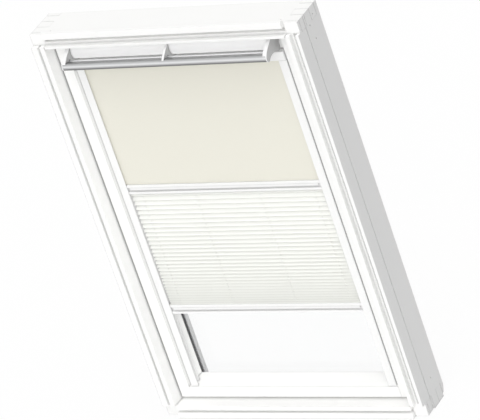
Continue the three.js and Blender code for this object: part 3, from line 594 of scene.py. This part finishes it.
def open_foam(name, colour):
    """Filter foam: dark cells in a grey net."""
    finish = Finish(name, colour, roughness=0.95)
    cells = finish.node("ShaderNodeTexVoronoi")
    cells.inputs["Scale"].default_value = 450.0
    finish.link(finish.places(), cells.inputs["Vector"])
    finish.tint(cells.outputs["Distance"], 0.3, 1.6)
    finish.bump(cells.outputs["Distance"], distance=0.6 * MM, strength=0.8)
    return finish.material


def woven_cloth(name, colour, warp, weft, depth, sheen=0.15, crease=0.0):
    """Plain weave on the cloth's own map, which is in metres: two sets of ribs cross, warp and
    weft times a metre, and the height is their product. The yarns vary a little in tone. With a
    crease reach, folds narrower than it get painted shade."""
    finish = Finish(name, colour, roughness=0.92)
    finish.shader.inputs["Sheen Weight"].default_value = sheen
    finish.shader.inputs["Sheen Roughness"].default_value = 0.5
    across = finish.split(finish.places(source="UV"))
    ribs = [finish.arithmetic("SINE", finish.arithmetic("MULTIPLY", across[axis],
                                                        count * 2 * math.pi))
            for axis, count in (("X", warp), ("Y", weft))]
    weave = finish.span(finish.arithmetic("MULTIPLY", *ribs), 0.0, 1.0, start=-1.0)
    yarn = finish.noise(finish.places(YARN_RUN, "UV"), scale=1.0, detail=2)
    half_yarn = finish.arithmetic("MULTIPLY", yarn, 0.5)
    finish.tint(finish.arithmetic("MULTIPLY_ADD", weave, 0.5, half_yarn), 0.965, 1.03)
    if crease > 0:
        # Painted shade in the narrow folds
        finish.painted_crease_shade(crease, PLEAT_CREASE_SHADE_SHARE)
    finish.bump(weave, distance=depth, strength=0.5)
    return finish.material


MATERIALS = {}


def material(name):
    """The shared material of a finish, made when it is first asked for."""
    if name in MATERIALS:
        return MATERIALS[name]
    paint = bpy.context.scene.window_paint
    cloth = bpy.context.scene.blind_cloth
    # Where the painted shade of the frame's outer side faces begins
    shaded_side = CAD_BOUNDS[1][0] - SIDE_SHADE_REACH
    MATERIALS[name] = {
        # The frame pieces get painted shade on their outer side faces
        "frame_upright": lambda: painted_timber(name, paint.timber, UPRIGHT_GRAIN, shaded_side),
        "frame_level": lambda: painted_timber(name, paint.timber, LEVEL_GRAIN, shaded_side),
        "timber_upright": lambda: painted_timber(name, paint.timber, UPRIGHT_GRAIN,
                                                 crease=SASH_CREASE_SHADE_SHARE),
        "timber_level": lambda: painted_timber(name, paint.timber, LEVEL_GRAIN,
                                               crease=SASH_CREASE_SHADE_SHARE),
        "blind_profile": lambda: satin_profile(name, paint.profile),
        "white_moulding": lambda: matt_moulding(name, paint.moulding),
        # The brackets' faces towards +X get painted shade
        "bracket_moulding": lambda: matt_moulding(name, paint.moulding, ARM_SIDE_SHADE_SHARE),
        # The flap is painted lighter than the other mouldings, as painted light
        "flap_moulding": lambda: matt_moulding(name, FLAP_PAINTED_LIGHT_COLOUR),
        "silver_bar": lambda: drawn_metal(name, paint.silver, roughness=0.36),
        # The control bar's colour carries painted highlights and painted shade
        "control_bar_silver": lambda: drawn_metal(name, paint.silver, roughness=0.36,
                                                  gleam="gleam"),
        "zinc_steel": lambda: drawn_metal(name, STEEL_COLOUR, roughness=0.4, hairs=EVEN_HAIRS),
        "spacer": lambda: drawn_metal(name, SPACER_COLOUR, roughness=0.55),
        "black_rubber": lambda: soft_rubber(name, RUBBER_COLOUR),
        "grey_cladding": lambda: satin_profile(name, CLADDING_COLOUR, roughness=0.45),
        "clear_pane": lambda: clear_pane(name, GLASS_COLOUR),
        "filter_foam": lambda: open_foam(name, FOAM_COLOUR),
        "blackout_cloth": lambda: woven_cloth(name, cloth.blackout, warp=1300, weft=1300,
                                              depth=0.08 * MM),
        "pleated_cloth": lambda: woven_cloth(name, cloth.pleated, warp=1900, weft=1500,
                                             depth=0.04 * MM, sheen=0.1,
                                             crease=PLEAT_CREASE_SHADE_REACH),
        "cord": lambda: woven_cloth(name, CORD_COLOUR, warp=1200, weft=900, depth=0.08 * MM),
    }[name]()
    return MATERIALS[name]


# Pieces of the model


def finish_nodes(nodes, finish, edge=0.0):
    """Gives pieces of the model their finish. With an edge, a piece's doubles are merged and its
    flat faces joined, and a bevel rounds its sharp corners."""
    for node in nodes:
        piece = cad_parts[node]
        if not piece.material_slots:
            piece.data.materials.append(material(finish))
        for place in piece.material_slots:
            place.material = material(finish)
        if edge > 0:
            round_edges(piece, edge)


def round_edges(piece, edge):
    """Live modifiers that clean a solid and bevel the corners sharper than CORNER_ANGLE."""
    weld = piece.modifiers.new("merge", "WELD")
    weld.merge_threshold = MERGE_DISTANCE
    flat = piece.modifiers.new("flat_faces", "DECIMATE")
    flat.decimate_type = "DISSOLVE"
    flat.angle_limit = FLAT_ANGLE
    bevel = piece.modifiers.new("edge", "BEVEL")
    bevel.width = edge
    bevel.segments = EDGE_STEPS
    bevel.limit_method = "ANGLE"
    bevel.angle_limit = CORNER_ANGLE
    bevel.use_clamp_overlap = True
    bevel.harden_normals = False


def each(name, *places):
    """Names of like pieces: the name with each place at its end."""
    return [f"{name}_{place}" for place in places]


class ROOFWINDOW_OT_frame(bpy.types.Operator):
    """Paints the outer frame and rounds its edges"""

    bl_idname = "roofwindow.frame"
    bl_label = "Frame"

    def execute(self, context):
        edge = context.scene.window_paint.edge
        finish_nodes(each("frame_jamb", "left", "right"), "frame_upright", edge)
        finish_nodes(each("frame", "head", "sill"), "frame_level", edge)
        return {"FINISHED"}


class ROOFWINDOW_OT_sash(bpy.types.Operator):
    """Paints the turning sash and its outside covers"""

    bl_idname = "roofwindow.sash"
    bl_label = "Sash"

    def execute(self, context):
        edge = context.scene.window_paint.edge
        finish_nodes(each("sash_stile", "left", "right"), "timber_upright", edge)
        finish_nodes(["sash_bottom_rail", "sash_top_rail"], "timber_level", edge)
        finish_nodes(each("cladding", "left", "right", "bottom", "top"), "grey_cladding",
                     edge * CLADDING_EDGE_SHARE)
        return {"FINISHED"}


class ROOFWINDOW_OT_glazing(bpy.types.Operator):
    """Finishes the panes, spacers and gaskets"""

    bl_idname = "roofwindow.glazing"
    bl_label = "Glazing"

    def execute(self, context):
        sides = ("left", "right", "bottom", "top")
        finish_nodes(["inner_pane", "outer_pane"], "clear_pane")
        finish_nodes(each("glass_spacer", *sides), "spacer", GLAZING_EDGE)
        finish_nodes(each("glazing_gasket", *sides), "black_rubber", GLAZING_EDGE)
        return {"FINISHED"}


class ROOFWINDOW_OT_fittings(bpy.types.Operator):
    """Finishes seals, pivots, lock and vent filter"""

    bl_idname = "roofwindow.fittings"
    bl_label = "Fittings"

    def execute(self, context):
        finish_nodes(each("seal", "left", "right", "head", "sill"), "black_rubber", SEAL_EDGE)
        finish_nodes(each("pivot_plate", "left", "right"), "zinc_steel", STEEL_EDGE)
        finish_nodes(each("pivot_bush", "left", "right"), "zinc_steel", BUSH_EDGE)
        finish_nodes(each("lock", "keeper", "case", "tongue"), "zinc_steel", STEEL_EDGE)
        finish_nodes(["bar_hinge_rod"], "zinc_steel")
        finish_nodes(["vent_filter"], "filter_foam")
        return {"FINISHED"}


class ROOFWINDOW_OT_control_bar(bpy.types.Operator):
    """Makes the control bar, and finishes its three brackets and the vent flap"""

    bl_idname = "roofwindow.control_bar"
    bl_label = "Control bar"

    def execute(self, context):
        low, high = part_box("control_bar")
        # The listed outline is turned round to run anticlockwise
        outline = np.clip(smooth_outline(BAR_OUTLINE, BAR_OUTLINE_STEPS), 0, 1)[::-1]
        places = outline[:, :2] * [high[1] - low[1], high[2] - low[2]] + [low[1], low[2]]
        bar = profile_prism("control_bar_profile", places, low[0], high[0],
                            material("control_bar_silver"), BAR_STATIONS, BAR_END_ROUND)
        # Painted highlights and painted shade round the outline, from its third column
        gleam = bar.data.attributes.new("gleam", "FLOAT", "POINT")
        stations = len(bar.data.vertices) // len(outline)
        gleam.data.foreach_set("value", np.repeat(outline[:, 2], stations))
        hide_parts("control_bar")
        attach(bar, "control")
        finish_nodes(each("bracket", "left", "middle", "right"), "bracket_moulding", BRACKET_EDGE)
        finish_nodes(["vent_flap"], "flap_moulding", FLAP_EDGE)
        return {"FINISHED"}


class ROOFWINDOW_OT_blind_profiles(bpy.types.Operator):
    """Finishes the blind's head box, rails, bars, gliders and roller"""

    bl_idname = "roofwindow.blind_profiles"
    bl_label = "Blind profiles"

    def execute(self, context):
        edge = context.scene.window_paint.profile_edge
        finish_nodes(["blind_head_box", "side_rail_left", "side_rail_right", "middle_bar",
                      "bottom_bar"], "blind_profile", edge)
        for ends in ("head_box_cap", "middle_glider", "bottom_glider"):
            finish_nodes(each(ends, "left", "right"), "white_moulding", edge)
        finish_nodes(["roller_tube"], "silver_bar")
        finish_nodes(["roller_axle", "roller_spring"], "zinc_steel")
        return {"FINISHED"}


# Cloths and cords


class ROOFWINDOW_OT_blackout_cloth(bpy.types.Operator):
    """Makes the blackout cloth and what is wound on the roller"""

    bl_idname = "roofwindow.blackout_cloth"
    bl_label = "Blackout cloth"

    def execute(self, context):
        self.hang_sheet()
        self.wind_roll()
        return {"FINISHED"}

    def hang_sheet(self):
        """The cloth is drawn flat, with points only along its top and foot, and across it the depth
        swells by the sine of an angle that grows with the width."""
        low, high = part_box("blackout_cloth")
        width, height = high[0] - low[0], high[2] - low[2]
        u = np.linspace(0, 1, BLACKOUT_COLUMNS)[None, :]
        v = np.array([0, 1])[:, None]
        points = np.empty((2, BLACKOUT_COLUMNS, 3))
        points[..., 0] = low[0] + width * u
        points[..., 1] = (low[1] + high[1]) / 2 + SWELL * np.sin(SWELL_ANGLE * u)
        points[..., 2] = low[2] + height * v
        cloth = mesh_piece("blackout_cloth_sheet", points.reshape(-1, 3),
                           grid_faces(2, BLACKOUT_COLUMNS), material("blackout_cloth"),
                           smooth=False)
        write_map(cloth, width * u, height * v)
        thicken(cloth, BLACKOUT_THICKNESS)
        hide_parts("blackout_cloth")
        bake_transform(cloth)

    def wind_roll(self):
        """A spiral whose radius grows evenly with its angle, carried along the roller."""
        low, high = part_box("wound_cloth")
        middle_y, middle_z = (low[1] + high[1]) / 2, (low[2] + high[2]) / 2
        outer = (high[2] - low[2]) / 2 - ROLL_THICKNESS
        angle = np.linspace(0, ROLL_TURNS * 2 * math.pi, ROLL_STEPS)
        radius = ROLL_CORE + (outer - ROLL_CORE) * angle / angle[-1]
        along = np.linspace(low[0], high[0], ROLL_STATIONS)
        y = middle_y - radius * np.cos(angle)
        z = middle_z + radius * np.sin(angle)
        points = np.empty((ROLL_STEPS, ROLL_STATIONS, 3))
        points[..., 0] = along
        points[..., 1] = y[:, None]
        points[..., 2] = z[:, None]
        roll = mesh_piece("wound_cloth_roll", points.reshape(-1, 3),
                          grid_faces(ROLL_STEPS, ROLL_STATIONS), material("blackout_cloth"))
        length = np.concatenate([[0], np.cumsum(np.hypot(np.diff(y), np.diff(z)))])
        write_map(roll, along[None], length[:, None])
        thicken(roll, ROLL_THICKNESS)
        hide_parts("wound_cloth")
        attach(roll, "roller")


def panel_heights(cloth):
    """Heights of the panels from the middle bar down, two to a pleat: a pleat's height is 1 less
    the taper times its share of the way to the power of the curve, and together they fill the
    space between the bars. The last panel is left out, so that the cloth meets the bottom bar at
    a front fold."""
    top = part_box("middle_bar")[0][2] - PLEAT_BAR_GAP
    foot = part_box("bottom_bar")[1][2] + PLEAT_BAR_GAP
    count = cloth.upper_pleats + cloth.lower_pleats
    weight = 1 - cloth.taper * ((np.arange(count) + 0.5) / count) ** cloth.curve
    return np.repeat(weight * (top - foot) / weight.sum() / 2, 2)[:-1]


def cord_columns():
    """X places of the four cords: two near the ends and two a third of the way in."""
    low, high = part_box("middle_bar")
    half = (high[0] - low[0]) / 2
    return [-half + CORD_INSET, -INNER_CORD_SHARE * half, INNER_CORD_SHARE * half,
            half - CORD_INSET]


def pleat_columns(left, right, columns):
    """X places of the points across the cloth: both ends, three at each cord, and even ones
    between them where there is room."""
    fixed = np.concatenate([[left, right], *[[x - HOLE_CELL, x, x + HOLE_CELL] for x in columns]])
    filler = np.linspace(left, right, PLEAT_COLUMNS)
    room = np.min(np.abs(filler[:, None] - fixed[None]), 1)
    return np.sort(np.concatenate([fixed, filler[room > LEAST_COLUMN]]))


def pleated_sheet(name, top, foot, heights, cloth, middle_y):
    """A folded sheet with a hole in each panel at each cord. Down the cloth the depth goes from
    the back fold to the front fold and back, each panel keeping its length; a fold is rounded by
    pulling its point in by a share of its depth. Across the cloth the sheet is straight. Round
    each cord a ring of eight quads leaves the hole open."""
    heights = heights * (top - foot) / heights.sum()
    panels, panel = len(heights), cloth.panel
    low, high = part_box("middle_bar")
    across = pleat_columns(low[0], high[0], cord_columns())
    beside_hole = HOLE_CELL / panel
    steps = np.array([0, FOLD_SHARE, 0.5 - beside_hole, 0.5, 0.5 + beside_hole,
                      1 - FOLD_SHARE]) * panel
    fold_z = top - np.concatenate([[0], np.cumsum(heights)])
    half_depth = np.sqrt(np.maximum(panel**2 - heights**2, FLAT_PANEL)) / 2
    fold_half = np.concatenate([half_depth[:1], (half_depth[:-1] + half_depth[1:]) / 2,
                                half_depth[-1:]])
    fold_y = middle_y + fold_half * np.where(np.arange(panels + 1) % 2 == 0, 1, -1)
    down = np.append((np.arange(panels)[:, None] * panel + steps[None]).ravel(), panels * panel)

    def place(along, x):
        """Points on the sheet at lengths along it and places across it."""
        index = np.clip((along / panel).astype(int), 0, panels - 1)
        share = along / panel - index
        y = fold_y[index] * (1 - share) + fold_y[index + 1] * share
        z = fold_z[index] * (1 - share) + fold_z[index + 1] * share
        return np.stack([x, y, z], -1)

    grid_x, grid_v = np.meshgrid(across, down)
    rows, count = grid_x.shape
    points = place(grid_v.ravel(), grid_x.ravel())
    inner = np.arange(PANEL_ROWS, rows - 1, PANEL_ROWS)
    points.reshape(rows, count, 3)[inner, :, 1] += ((middle_y - fold_y[1:-1])
                                                    * FOLD_PULL_SHARE)[:, None]

    # The four quads at each hole make room for a ring of eight
    keep = np.ones((rows - 1, count - 1), bool)
    hole_rows = np.arange(panels) * PANEL_ROWS + HOLE_ROW
    hole_columns = np.searchsorted(across, cord_columns())
    for row_step, column_step in ((-1, -1), (-1, 0), (0, -1), (0, 0)):
        keep[hole_rows[:, None] + row_step, hole_columns[None] + column_step] = False
    row, column = np.meshgrid(hole_rows, hole_columns, indexing="ij")
    row, column = row.ravel(), column.ravel()
    ring_row, ring_column = HOLE_RING.T
    outer = (row[:, None] + ring_row) * count + column[:, None] + ring_column
    angle = np.arctan2(ring_row, ring_column)
    hole_v = (down[row][:, None] + cloth.hole * np.sin(angle)).ravel()
    hole_x = (across[column][:, None] + cloth.hole * np.cos(angle)).ravel()
    rim = len(points) + np.arange(hole_v.size).reshape(outer.shape)
    rings = np.stack([outer, rim, np.roll(rim, -1, 1), np.roll(outer, -1, 1)], -1).reshape(-1, 4)
    faces = np.concatenate([grid_faces(rows, count)[keep.ravel()], rings])
    points = np.concatenate([points, place(hole_v, hole_x)])
    map_x = np.concatenate([grid_x.ravel(), hole_x])
    map_v = np.concatenate([grid_v.ravel(), hole_v])

    used, index = np.unique(faces, return_inverse=True)
    piece = mesh_piece(name, points[used], index.reshape(faces.shape), material("pleated_cloth"),
                       smooth=False)
    write_map(piece, map_x[used], map_v[used])
    thicken(piece, PLEAT_THICKNESS)
    return piece


class ROOFWINDOW_OT_pleated_cloth(bpy.types.Operator):
    """Makes both halves of the pleated cloth"""

    bl_idname = "roofwindow.pleated_cloth"
    bl_label = "Pleated cloth"

    def execute(self, context):
        cloth = context.scene.blind_cloth
        heights = panel_heights(cloth)
        meeting = 2 * cloth.upper_pleats
        for half, body, chosen in (("upper", "middle_blind_bar", heights[:meeting]),
                                   ("lower", "bottom_blind_bar", heights[meeting:])):
            low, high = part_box(f"pleated_cloth_{half}")
            y = (low[1] + high[1]) / 2
            piece = pleated_sheet(f"pleated_cloth_{half}_sheet", high[2], low[2], chosen, cloth, y)
            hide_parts(f"pleated_cloth_{half}")
            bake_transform(piece)
        return {"FINISHED"}


class ROOFWINDOW_OT_cords(bpy.types.Operator):
    """Makes the cords that run through the pleats and along inside the bars"""

    bl_idname = "roofwindow.cords"
    bl_label = "Cords"

    def execute(self, context):
        radius = context.scene.blind_cloth.cord
        for half, body in (("upper", "middle_blind_bar"), ("lower", "bottom_blind_bar")):
            low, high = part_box(f"pleat_cord_{half}")
            y = (low[1] + high[1]) / 2
            level_z = high[2] - radius if half == "upper" else low[2] + radius
            far_z = low[2] if half == "upper" else high[2]
            ends = [((x, y, level_z), (x, y, far_z)) for x in cord_columns()]
            ends.append(((low[0] + radius, y, level_z), (high[0] - radius, y, level_z)))
            points, faces = joined([tube(np.linspace(start, end, CORD_STEPS), radius)
                                    for start, end in ends])
            cord = mesh_piece(f"pleat_cord_{half}_line", points, faces, material("cord"))
            write_map(cord, points[:, 0], points[:, 2])
            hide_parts(f"pleat_cord_{half}")
            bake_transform(cord)
        return {"FINISHED"}


# Stage


def seen_directly(tree):
    """1 for what the camera sees straight, in a reflection or through glass, and 0 for light on
    the object."""
    path = tree.nodes.new("ShaderNodeLightPath")
    total = path.outputs["Is Camera Ray"]
    for name in ("Is Glossy Ray", "Is Transmission Ray"):
        larger = tree.nodes.new("ShaderNodeMath")
        larger.operation = "MAXIMUM"
        tree.links.new(total, larger.inputs[0])
        tree.links.new(path.outputs[name], larger.inputs[1])
        total = larger.outputs[0]
    return total


def white_light(tree, kind, strength=1.0):
    """The output of a white Background or Emission node."""
    made = tree.nodes.new(kind)
    made.inputs["Color"].default_value = (1, 1, 1, 1)
    made.inputs["Strength"].default_value = strength
    return made.outputs[0]


def mixed(tree, share, first, second, target):
    """Puts first, turning to second by the share, on the target."""
    mix = tree.nodes.new("ShaderNodeMixShader")
    for source, place in zip((share, first, second), mix.inputs):
        tree.links.new(source, place)
    tree.links.new(mix.outputs[0], target)


def facing(back, up, place):
    """Matrix of a lamp or camera at a place that looks against back."""
    back = np.array(back, float) / np.linalg.norm(back)
    right = np.cross(up, back)
    right /= np.linalg.norm(right)
    matrix = np.eye(4)
    for column, axis in enumerate((right, np.cross(back, right), back, place)):
        matrix[:3, column] = axis
    return [tuple(row) for row in matrix.T.tolist()]


class ROOFWINDOW_OT_stage(bpy.types.Operator):
    """Sets the pale floor, the soft light and the camera"""

    bl_idname = "roofwindow.stage"
    bl_label = "Stage"

    def execute(self, context):
        context.scene.view_settings.view_transform = "Standard"
        self.make_world(context.scene)
        self.make_floor()
        self.make_lamps(context.scene)
        self.make_camera(context.scene)
        return {"FINISHED"}

    def make_world(self, scene):
        """Even light on the object, and white behind it."""
        world = bpy.data.worlds.new("studio")
        scene.world = world
        world.use_nodes = True
        tree = world.node_tree
        tree.nodes.clear()
        even = white_light(tree, "ShaderNodeBackground", scene.studio_light.sky)
        white = white_light(tree, "ShaderNodeBackground")
        out = tree.nodes.new("ShaderNodeOutputWorld")
        mixed(tree, seen_directly(tree), even, white, out.inputs["Surface"])

    def make_floor(self):
        """The floor is a wide disc: rings of points at growing radii. It glows nearly white
        where it is seen, and keeps some of the object's shadow."""
        radius = np.array(FLOOR_RADII)
        angle = np.linspace(0, 2 * math.pi, FLOOR_SIDES, endpoint=False)
        points = np.empty((FLOOR_SIDES, len(radius), 3))
        points[..., 0] = np.cos(angle)[:, None] * radius
        points[..., 1] = np.sin(angle)[:, None] * radius
        points[..., 2] = -FLOOR_DROP
        paint = Finish("pale_floor", FLOOR_COLOUR, roughness=0.9)
        floor = mesh_piece("floor", points.reshape(-1, 3),
                           grid_faces(FLOOR_SIDES, len(radius), closed=True), paint.material,
                           smooth=False)
        share = paint.arithmetic("MULTIPLY", seen_directly(paint.tree), FLOOR_GLOW_SHARE)
        glow = white_light(paint.tree, "ShaderNodeEmission")
        mixed(paint.tree, share, paint.shader.outputs[0], glow,
              paint.tree.nodes["Material Output"].inputs["Surface"])

    def make_lamps(self, scene):
        """Wide suns, of which the front one casts no shadow."""
        for name, setting, shadow, direction in LAMPS:
            lamp = bpy.data.lights.new(name, "SUN")
            lamp.energy = getattr(scene.studio_light, setting)
            lamp.angle = scene.studio_light.softness
            lamp.use_shadow = shadow
            sun = bpy.data.objects.new(name, lamp)
            scene.collection.objects.link(sun)
            sun.matrix_world = facing(direction, LAMP_UP, LAMP_PLACE)

    def make_camera(self, scene):
        """The camera at the photograph's viewing angle."""
        lens = bpy.data.cameras.new("camera")
        lens.sensor_width = SENSOR_WIDTH
        lens.sensor_fit = "HORIZONTAL"
        lens.lens = scene.studio_light.focal
        lens.clip_end = VIEW_END
        camera = bpy.data.objects.new("camera", lens)
        scene.collection.objects.link(camera)
        camera.matrix_world = facing(CAMERA_BACK, CAMERA_UP, CAMERA_PLACE)
        scene.camera = camera


# Add-on


GROUPS = {"window_paint": WindowPaint, "blind_cloth": BlindCloth, "studio_light": StudioLight}
OPERATORS = (
    ROOFWINDOW_OT_stage, ROOFWINDOW_OT_frame, ROOFWINDOW_OT_sash, ROOFWINDOW_OT_glazing,
    ROOFWINDOW_OT_fittings, ROOFWINDOW_OT_control_bar, ROOFWINDOW_OT_blind_profiles,
    ROOFWINDOW_OT_blackout_cloth, ROOFWINDOW_OT_pleated_cloth, ROOFWINDOW_OT_cords)


class ROOFWINDOW_PT_panel(bpy.types.Panel):
    """Lists the settings and the steps of the roof window"""

    bl_idname = "ROOFWINDOW_PT_panel"
    bl_label = "Roof window"
    bl_space_type = "VIEW_3D"
    bl_region_type = "UI"
    bl_category = "Roof window"

    def draw(self, context):
        for group in GROUPS:
            box = self.layout.box()
            settings = getattr(context.scene, group)
            for name in settings.__annotations__:
                box.prop(settings, name)
        for step in OPERATORS:
            self.layout.operator(step.bl_idname)


def register():
    """Makes the settings, operators and panel known to Blender."""
    for name, group in GROUPS.items():
        bpy.utils.register_class(group)
        setattr(bpy.types.Scene, name, PointerProperty(type=group))
    for step in (*OPERATORS, ROOFWINDOW_PT_panel):
        bpy.utils.register_class(step)


def unregister():
    """Takes back what register did, last first."""
    for step in reversed((*OPERATORS, ROOFWINDOW_PT_panel)):
        bpy.utils.unregister_class(step)
    for name, group in reversed(GROUPS.items()):
        delattr(bpy.types.Scene, name)
        bpy.utils.unregister_class(group)


def main():
    """Runs every operator in order."""
    register()
    for step in OPERATORS:
        group, name = step.bl_idname.split(".")
        getattr(getattr(bpy.ops, group), name)()


if __name__ == "__main__":
    main()
